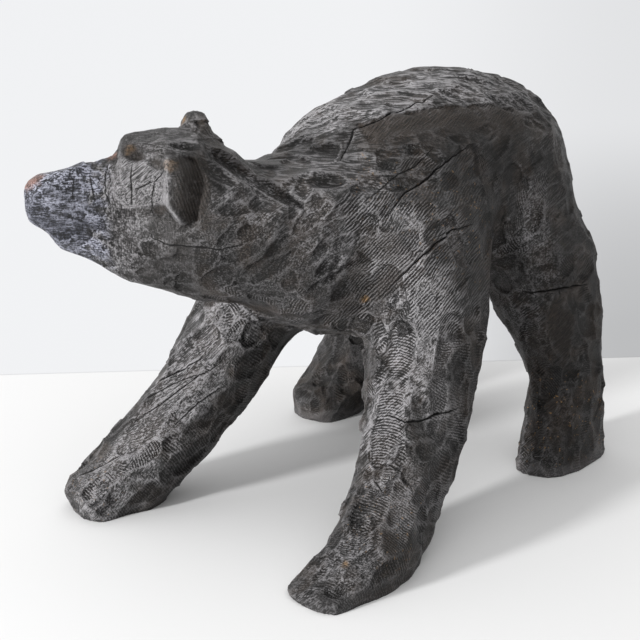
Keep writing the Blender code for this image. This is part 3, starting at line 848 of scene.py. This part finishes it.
# A smooth range takes the value, its low and high end, and what comes out at those ends: 0 and 1 if not said.
SMOOTH, COLOURS, VALUES = {"interpolation_type": "SMOOTHSTEP"}, {"data_type": "RGBA"}, {"data_type": "FLOAT"}
MARKS = ("ridge", "crack_side", "crack_half", "pitted", "comb", "comb_line", "facet", "snout", "back", "head",
         "leg", "rim", "bare", "clay", "flecked", "edge", "rubbed", "thick", "deep", "calm", "plate", "crown",
         "band", "crest")
# Fibres about 2 mm wide, as fine as shows: the way they run, and the length and width of a streak in metres.
FIBRES = {
    "body": (GRAIN, 0.050, 0.0017), "head": (HEAD_UP, 0.026, 0.0017), "leg": (LEG_FIBRES, 0.040, 0.0016),
    "snout": (HEAD_FORWARD, 0.014, 0.0016), "back": (BACK_SWEEP, 0.034, 0.0024),
    "scratch": (SCRATCH, 0.030, 0.0013),
}
# Torn fibre ends in pits 3 mm across with grit in them, thin stain in patches 50 mm across, what bends and
# breaks up the chain's marks, and flecks of bare wood: size in metres, detail and roughness.
SPECKS = {
    "pits": (0.0030, 5.0, 0.74), "grit": (0.0022, 2.0, 0.6), "patches": (0.050, 4.0, 0.6),
    "ripple": (0.026, 2.0, 0.5), "breaks": (0.018, 2.0, 0.6), "flecks": (0.0055, 1.0, 0.6),
}


def black_stained_wood(settings):
    """Softwood sawn rough and stained black, weathered in the open.

    The stain is thin and satin, with a grey sheen where a face turns to the light. Painted light is laid into
    its colour too: painted sheen on rubbed patches and the snout, painted highlights on the face's edges and
    the relief's crests, and painted shade, near black in the face's hollows and the relief's low spots and
    hollows, and dark on the shaded sides. It is near black in the cracks, lighter where ridges are worn, brown
    where the wood shows through, and blue-grey on the snout.
    """
    material, tree = empty_material("black_stained_wood")
    node = functools.partial(add_node, tree)
    place = node("TexCoord", out="Object")
    mark = {name: node("Attribute", {"attribute_name": name, "attribute_type": "GEOMETRY"}, out="Fac")
            for name in MARKS}
    paint = {name: linear(getattr(settings, name)) for name in
             ("stain", "thin_stain", "worn", "snout_wear_and_sheen", "snout", "bare", "clay", "crack")}

    # Fibres run along the log on the body, up and down on the head, faintly, and aslant on the legs.
    fibres = {}
    for name, (way, length, width) in FIBRES.items():
        turn = tuple(Vector(way).to_track_quat("X", "Z").to_euler())
        drawn = node("Mapping", {"vector_type": "TEXTURE"},
                     {"Vector": place, "Rotation": turn, "Scale": (length, width, width)})
        fibres[name] = node("TexNoise", None, {"Vector": drawn, "Scale": 1.0, "Detail": 3.0, "Roughness": 0.6})
    faint = node("Mix", VALUES, {0: 0.55, 2: fibres["head"], 3: 0.5})
    sleek = node("Math", GREATER, (mark["snout"], mark["crown"]))
    grain = fibres["body"]
    for share, over in ((mark["leg"], fibres["leg"]), (mark["back"], fibres["back"]), (mark["head"], faint),
                        (sleek, fibres["snout"]), (mark["plate"], fibres["scratch"])):
        grain = node("Mix", VALUES, {0: share, 2: grain, 3: over})
    speck = {}
    for name, (size, detail, harsh) in SPECKS.items():
        about = {"Vector": place, "Scale": 1.0 / size, "Detail": detail, "Roughness": harsh}
        speck[name] = node("TexNoise", None, about)

    # Marks of the chain's teeth: a sine along the saw's way, broken up, and none on the ridges between cuts.
    phase = node("Math", TIMES, (speck["ripple"], 5.0))
    phase = node("Math", TIMES_PLUS, (mark["comb_line"], 2 * math.pi / settings.tooth_pitch, phase))
    broken = node("MapRange", SMOOTH, (speck["breaks"], 0.30, 0.42))
    flat = node("Math", MINUS, (1.0, mark["ridge"]))
    kept = node("Math", TIMES, (node("Math", TIMES, (mark["comb"], broken)), flat))
    teeth = node("Math", TIMES, (node("Math", SINE, (phase,)), kept))

    # A crack is dark where the distance to its line is under half its width.
    beyond = node("Math", MINUS, (node("Math", SIZE_OF, (mark["crack_side"],)), mark["crack_half"]))
    crack = node("MapRange", SMOOTH, (beyond, 0.45, -0.25))
    open_here = node("MapRange", SMOOTH, (mark["crack_half"], 0.05, 0.3))
    crack = node("Math", TIMES, (crack, open_here))

    # Torn fibres count for less where the saw's teeth or the grain show: combed places, back, legs and
    # cheek plate.
    smoother = kept
    for name, share in (("back", 0.75), ("leg", 0.6), ("plate", 1.0)):
        smoother = node("Math", GREATER, (smoother, node("Math", TIMES, (mark[name], share))))
    less = node("Math", TIMES_PLUS, (smoother, -0.6, 1.0))
    torn = node("Math", TIMES, (node("Math", MINUS, (speck["pits"], 0.5)), less))

    # Height in millimetres.
    height = node("Math", TIMES, (teeth, settings.tooth_depth))
    pit_size = node("Math", TIMES_PLUS, (mark["pitted"], 6.0, 1.6))
    for form, size in ((grain, 2.6), (torn, pit_size), (speck["grit"], 1.1), (crack, -1.6)):
        height = node("Math", TIMES_PLUS, (form, size, height))
    bump = node("Bump", None, {"Strength": 1.0, "Distance": MM, "Height": height})

    # Wear: high spots of the fine relief, ridges and tooth marks lose their stain first. Painted sheen adds more
    # where it is rubbed and on the snout, painted highlights lie along the face's edges, and less shows where
    # shade is painted.
    spread = node("Math", TIMES_PLUS, (smoother, 0.35, 0.9))
    streaks = node("Math", TIMES_PLUS, (node("Math", MINUS, (grain, 0.5)), spread, 0.95))
    # Painted highlight and shade: the relief's crests go paler and its hollows darker.
    streaks = node("Math", TIMES_PLUS, (mark["crest"], 0.13, streaks))
    fine = node("Math", PLUS, (streaks, node("Math", TIMES_PLUS, (teeth, 0.20, torn))))
    high = node("MapRange", SMOOTH, (fine, 0.94, 1.09))
    # Painted shade: the low spots of the fine relief, pits among them, are painted near black.
    low = node("MapRange", SMOOTH, (fine, 0.925, 0.815))
    amount = 0.13
    for name, share in (("pitted", 0.24), ("facet", 0.30), ("rubbed", 1.05), ("plate", 0.6), ("snout", 0.28)):
        amount = node("Math", TIMES_PLUS, (mark[name], share, amount))
    amount = node("Math", TIMES, (amount, node("Math", TIMES_PLUS, (mark["thick"], -0.75, 1.0))))
    on_ridge = node("Math", TIMES_PLUS, (mark["rubbed"], 0.35, 0.16))
    on_ridge = node("Math", TIMES, (mark["ridge"], on_ridge))
    worn = node("Math", TIMES_PLUS, (high, amount, on_ridge))
    worn = node("Math", CLAMPED, (mark["edge"], 0.75, worn))

    # Thin stain lets the wood's brown through in patches, in the face's hollows and where the saw left it
    # smooth.
    thin = node("MapRange", SMOOTH, (speck["patches"], 0.42, 0.62))
    thin = node("Math", TIMES, (thin, node("Math", TIMES_PLUS, (mark["head"], -0.8, 1.0))))
    for name, share in (("calm", 0.5), ("band", 1.0), ("deep", 1.0)):
        thin = node("Math", GREATER, (thin, node("Math", TIMES, (mark[name], share))))
    thin = node("Math", TIMES, (thin, node("Math", MINUS, (1.0, mark["snout"]))))
    # Painted sheen: the rubbed patches are greyed, and so is the cheek plate.
    greyed = node("Math", TIMES, (mark["rubbed"], 0.22))
    greyed = node("Math", GREATER, (node("Math", TIMES, (mark["plate"], 0.30)), greyed))
    fleck = node("MapRange", SMOOTH, (speck["flecks"], 0.67, 0.71))
    wood = node("Math", GREATER, (mark["bare"], node("Math", TIMES, (fleck, mark["flecked"]))))
    show = node("MapRange", SMOOTH, (fine, 0.84, 1.0, 0.25))
    paint["pale"] = node("Mix", COLOURS, {0: mark["snout"], 6: paint["worn"], 7: paint["snout_wear_and_sheen"]}, 2)

    # Each layer of colour over the last: its share, its strength and its paint.
    colour = paint["stain"]
    for share, strength, over in (
            (thin, 1.0, "thin_stain"), (greyed, 1.0, "worn"), (mark["snout"], 0.85, "snout"),
            # Painted shade: the relief's low spots and the face's hollows take the cracks' near black; the pale
            # layer holds the painted sheen and the face's painted highlights.
            (worn, 1.0, "pale"), (low, 0.90, "crack"), (mark["rim"], 0.18, "worn"), (mark["deep"], 0.35, "crack"),
            (wood, show, "bare"), (mark["clay"], show, "clay"), (crack, 1.0, "crack")):
        share = node("Math", TIMES, (share, strength))
        colour = node("Mix", COLOURS, {0: share, 6: colour, 7: paint[over]}, 2)
    rough = 0.28
    for form, share in ((mark["facet"], 0.10), (speck["pits"], 0.24), (mark["thick"], 0.12), (crack, 0.4)):
        rough = node("Math", CLAMPED, (form, share, rough))
    surface = node("BsdfPrincipled", None, {"Base Color": colour, "Roughness": rough, "Normal": bump,
                                            "IOR": 1.5, "Specular IOR Level": 0.4})
    node("OutputMaterial", None, {"Surface": surface})
    return material


def white_painted_board():
    """White painted board, matt: a bright floor that folds up into a paler wall.

    It is flat: beyond a straight fold line it glows with painted light in place of a lit wall, and a painted
    shadow fades that glow to grey on the right near the fold.
    """
    material, tree = empty_material("white_painted_board")
    node = functools.partial(add_node, tree)
    place = node("TexCoord", out="Object")
    beyond = node("VectorMath", DOT, (place, FOLD_ACROSS), "Value")
    beyond = node("Math", MINUS, (beyond, FOLD_DISTANCE))
    from_front = node("VectorMath", MINUS, (place, FAN_CENTRE))
    sideways = node("VectorMath", DOT, (from_front, FAN_SIDE), "Value")
    ahead = node("VectorMath", DOT, (from_front, FAN_AHEAD), "Value")
    fan = node("Math", OVER, (sideways, node("Math", GREATER, (ahead, 0.5))))
    wall = node("MapRange", SMOOTH, (beyond, -0.004, 0.004))
    # Painted shadow: on the right, near the fold, the glow is darkened as if the bear's shadow fell on the wall.
    right = node("MapRange", SMOOTH, (fan, 0.02, 0.24))
    upwards = node("MapRange", SMOOTH, (beyond, 0.0, 3.0, 1.0, 0.30))
    painted_shadow = node("Math", TIMES_PLUS, (node("Math", TIMES, (right, upwards)), -0.44, 1.0))
    # The seam is a faint dark line a few millimetres wide.
    off_seam = node("Math", SIZE_OF, (beyond,))
    seam = node("MapRange", SMOOTH, (off_seam, 0.005, 0.0015))
    seam = node("Math", TIMES_PLUS, (seam, -0.25, 1.0))
    # Painted light: beyond the fold the dark board glows in place of a lit wall, less where the painted shadow
    # lies.
    glow = node("Math", TIMES, (node("Math", TIMES, (wall, painted_shadow)), seam))
    base = node("Mix", COLOURS, {0: wall, 6: linear("#e3e3e3"), 7: linear("#303030")}, 2)
    surface = node("BsdfPrincipled", None, {"Base Color": base, "Roughness": 0.85, "Specular IOR Level": 0.0,
                                            "Emission Color": linear("#edeef0"), "Emission Strength": glow})
    node("OutputMaterial", None, {"Surface": surface})
    return material


def pale_room(settings):
    """A pale room round the bear: a bright ceiling, one white wall behind it, and the other walls dim."""
    world = bpy.data.worlds.new("pale_room")
    world.use_nodes = True
    world.node_tree.nodes.clear()
    node = functools.partial(add_node, world.node_tree)
    way = node("TexCoord", out="Generated")
    height = node("SeparateXYZ", None, {"Vector": way}, "Z")
    behind = node("VectorMath", DOT, (way, settings.wall_way), "Value")
    wall = node("MapRange", SMOOTH, (behind, 0.15, 0.75, settings.around, settings.wall))
    level = node("MapRange", SMOOTH, (height, 0.2, 0.95, wall, settings.overhead))
    glow = node("Background", None, {"Color": linear("#f6f6f6"), "Strength": level})
    node("OutputWorld", None, {"Surface": glow})
    return world


# ---------------------------------------------------------------- settings, operators and panel

class CarvedBearSettings(bpy.types.PropertyGroup):
    """Sizes of the tool marks and the colours of the stain."""
    cell: FloatProperty(name="Surface cell",
                        description="Spacing of the points that the relief is cut into", default=0.0025,
                        min=0.001, unit="LENGTH")
    relax_rounds: IntProperty(name="Smoothing", default=14, min=0,
                              description="Rounds that take the solid's flats out before the relief is cut")
    cuts: IntProperty(name="Saw touches", default=9000, min=0,
                      description="Places tried for a saw cut; fewer are kept where cuts are large")
    cut_strength: FloatProperty(name="Cut strength",
                                description="Depth of the saw cuts against their usual depth", default=1.0,
                                min=0.0)
    stock: FloatProperty(name="Stock", description="Wood added outside the solid before the cuts go in",
                         default=0.0017, unit="LENGTH")
    tooth_pitch: FloatProperty(name="Tooth mark pitch",
                               description="Distance between the marks of the chain's teeth",
                               default=0.0040, min=0.001, unit="LENGTH")
    tooth_depth: FloatProperty(name="Tooth mark depth", default=0.8, min=0.0,
                               description="Half the height of the marks of the chain's teeth, in millimetres")
    triangles: IntProperty(name="Triangles", description="Triangles kept after the relief is cut",
                           default=190000, min=1000)
    seed: IntProperty(name="Seed", description="Start of the random draws", default=7)
    stain: StringProperty(name="Stain", description="Full black stain, as sRGB hex", default="#0f0b08")
    thin_stain: StringProperty(name="Thin stain", default="#281e15",
                               description="Stain that lets the brown wood through, as sRGB hex")
    # Also the colour of the painted sheen on rubbed patches and of the painted highlights on the face's edges.
    worn: StringProperty(name="Worn stain", description="Stain worn grey on ridges and grit, as sRGB hex",
                         default="#939193")
    # Also the colour of the painted sheen on the snout.
    snout_wear_and_sheen: StringProperty(name="Worn snout", description="Worn paint on the snout, as sRGB hex",
                               default="#a8aab8")
    snout: StringProperty(name="Snout", description="Blue-grey paint on the snout, as sRGB hex",
                          default="#292b36")
    bare: StringProperty(name="Bare wood", description="Wood where the stain is gone, as sRGB hex",
                         default="#8d6d44")
    clay: StringProperty(name="Nose", default="#8b695e",
                         description="Dull red on the nose tip and between the eyes, as sRGB hex")
    # Also painted as shade in the relief's low spots and the face's hollows.
    crack: StringProperty(name="Crack", description="Inside of the drying cracks, as sRGB hex",
                          default="#090807")


class StudioSettings(bpy.types.PropertyGroup):
    """The camera and the light round the bear."""
    azimuth: FloatProperty(name="Camera azimuth",
                           description="How far round from the bear's front the camera stands",
                           default=math.radians(40.0), subtype="ANGLE")
    pitch: FloatProperty(name="Camera pitch", description="How far the camera looks down",
                         default=math.radians(17.5), subtype="ANGLE")
    position: FloatVectorProperty(name="Camera position", description="Where the camera stands",
                                  default=(1.2337, -1.5430, 0.8876), subtype="TRANSLATION", unit="LENGTH")
    lens: FloatProperty(name="Lens", description="Focal length on a 36 mm sensor, in millimetres",
                        default=76.0)
    key: FloatProperty(name="Key light", description="Power of the soft light at the bear's front",
                       default=890.0)
    key_place: FloatVectorProperty(name="Key light position", description="Where the soft light stands",
                                   default=(-2.02, -7.55, 1.85), subtype="TRANSLATION", unit="LENGTH")
    key_size: FloatProperty(name="Key light size", description="Diameter of the soft light", default=1.05,
                            unit="LENGTH")
    overhead: FloatProperty(name="Ceiling", description="Brightness of the room overhead", default=1.35)
    wall: FloatProperty(name="White wall", description="Brightness of the white wall behind the bear",
                        default=1.05)
    wall_way: FloatVectorProperty(name="Way to the white wall",
                                  description="Direction from the bear to the white wall",
                                  default=(-0.87, 0.49, 0.0), subtype="XYZ")
    around: FloatProperty(name="Walls", description="Brightness of the room at eye level", default=0.16)


class OBJECT_OT_carved_bear(bpy.types.Operator):
    """Cuts the saw marks and cracks into a skin over the solid bear, and stains it."""
    bl_idname = "object.carved_bear"
    bl_label = "Carve the bear"

    def execute(self, context):
        settings = context.scene.carved_bear
        mesh = carve(solid_skin(settings.cell), settings)
        mesh = applied(mesh, "DECIMATE", ratio=min(1.0, settings.triangles / (2 * len(mesh.polygons))))
        if not mesh.attributes.get("ridge"):
            raise BearError("the skin lost its attributes")
        mesh.polygons.foreach_set("use_smooth", np.ones(len(mesh.polygons), bool))
        mesh.materials.clear()
        mesh.materials.append(black_stained_wood(settings))
        mesh.name = "carved_bear"
        skin = new_object("carved_bear", mesh)
        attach(skin, "root")
        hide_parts("bear")
        return {"FINISHED"}


class OBJECT_OT_bear_studio(bpy.types.Operator):
    """Lays the pale floor and sets the camera and the soft light."""
    bl_idname = "object.bear_studio"
    bl_label = "Set the studio"

    def execute(self, context):
        settings = context.scene.bear_studio
        mesh = bpy.data.meshes.new("studio_floor")
        corners = [(x * FLOOR_REACH, y * FLOOR_REACH, 0) for x, y in ((-1, -1), (1, -1), (1, 1), (-1, 1))]
        mesh.from_pydata(corners, [], [(0, 1, 2, 3)])
        mesh.materials.append(white_painted_board())
        floor = new_object("studio_floor", mesh)

        camera = bpy.data.cameras.new("camera")
        camera.lens = settings.lens
        camera.sensor_width = 36.0
        camera.clip_end = 60.0
        camera.dof.use_dof = False
        eye = new_object("camera", camera)
        eye.matrix_world = (Matrix.Translation(settings.position) @ Matrix.Rotation(settings.azimuth, 4, "Z")
                            @ Matrix.Rotation(math.pi / 2 - settings.pitch, 4, "X"))
        context.scene.camera = eye

        lamp = bpy.data.lights.new("key_softbox", "AREA")
        lamp.shape = "DISK"
        lamp.size = settings.key_size
        lamp.energy = settings.key
        light = new_object("key_softbox", lamp)
        light.location = settings.key_place
        light.rotation_mode = "QUATERNION"
        light.rotation_quaternion = (light.location - Vector((0.0, 0.0, 0.3))).to_track_quat("Z", "Y")
        context.scene.world = pale_room(settings)
        context.scene.view_settings.view_transform = "Standard"
        if light.location.z <= 0.0 or eye.matrix_world.translation.z <= 0.0:
            raise BearError("the camera or the light stands under the floor")
        return {"FINISHED"}


class VIEW3D_PT_carved_bear(bpy.types.Panel):
    """Lists the steps that make the bear and its studio."""
    bl_label = "Carved Bear"
    bl_idname = "VIEW3D_PT_carved_bear"
    bl_space_type = "VIEW_3D"
    bl_region_type = "UI"
    bl_category = "Carved Bear"

    def draw(self, context):
        scene = context.scene
        steps = ((OBJECT_OT_carved_bear, scene.carved_bear), (OBJECT_OT_bear_studio, scene.bear_studio))
        for step, group in steps:
            box = self.layout.box()
            box.operator(step.bl_idname)
            for name in group.bl_rna.properties.keys():
                if name not in ("rna_type", "name"):
                    box.prop(group, name)


CLASSES = (CarvedBearSettings, StudioSettings, OBJECT_OT_carved_bear, OBJECT_OT_bear_studio,
           VIEW3D_PT_carved_bear)


def register():
    """Makes the settings, operators and panel known."""
    for kind in CLASSES:
        bpy.utils.register_class(kind)
    bpy.types.Scene.carved_bear = PointerProperty(type=CarvedBearSettings)
    bpy.types.Scene.bear_studio = PointerProperty(type=StudioSettings)


def unregister():
    """Takes them away again."""
    del bpy.types.Scene.carved_bear, bpy.types.Scene.bear_studio
    for kind in reversed(CLASSES):
        bpy.utils.unregister_class(kind)


def main():
    """Makes the bear, then its studio."""
    register()
    bpy.ops.object.carved_bear()
    bpy.ops.object.bear_studio()


if __name__ == "__main__":
    main()
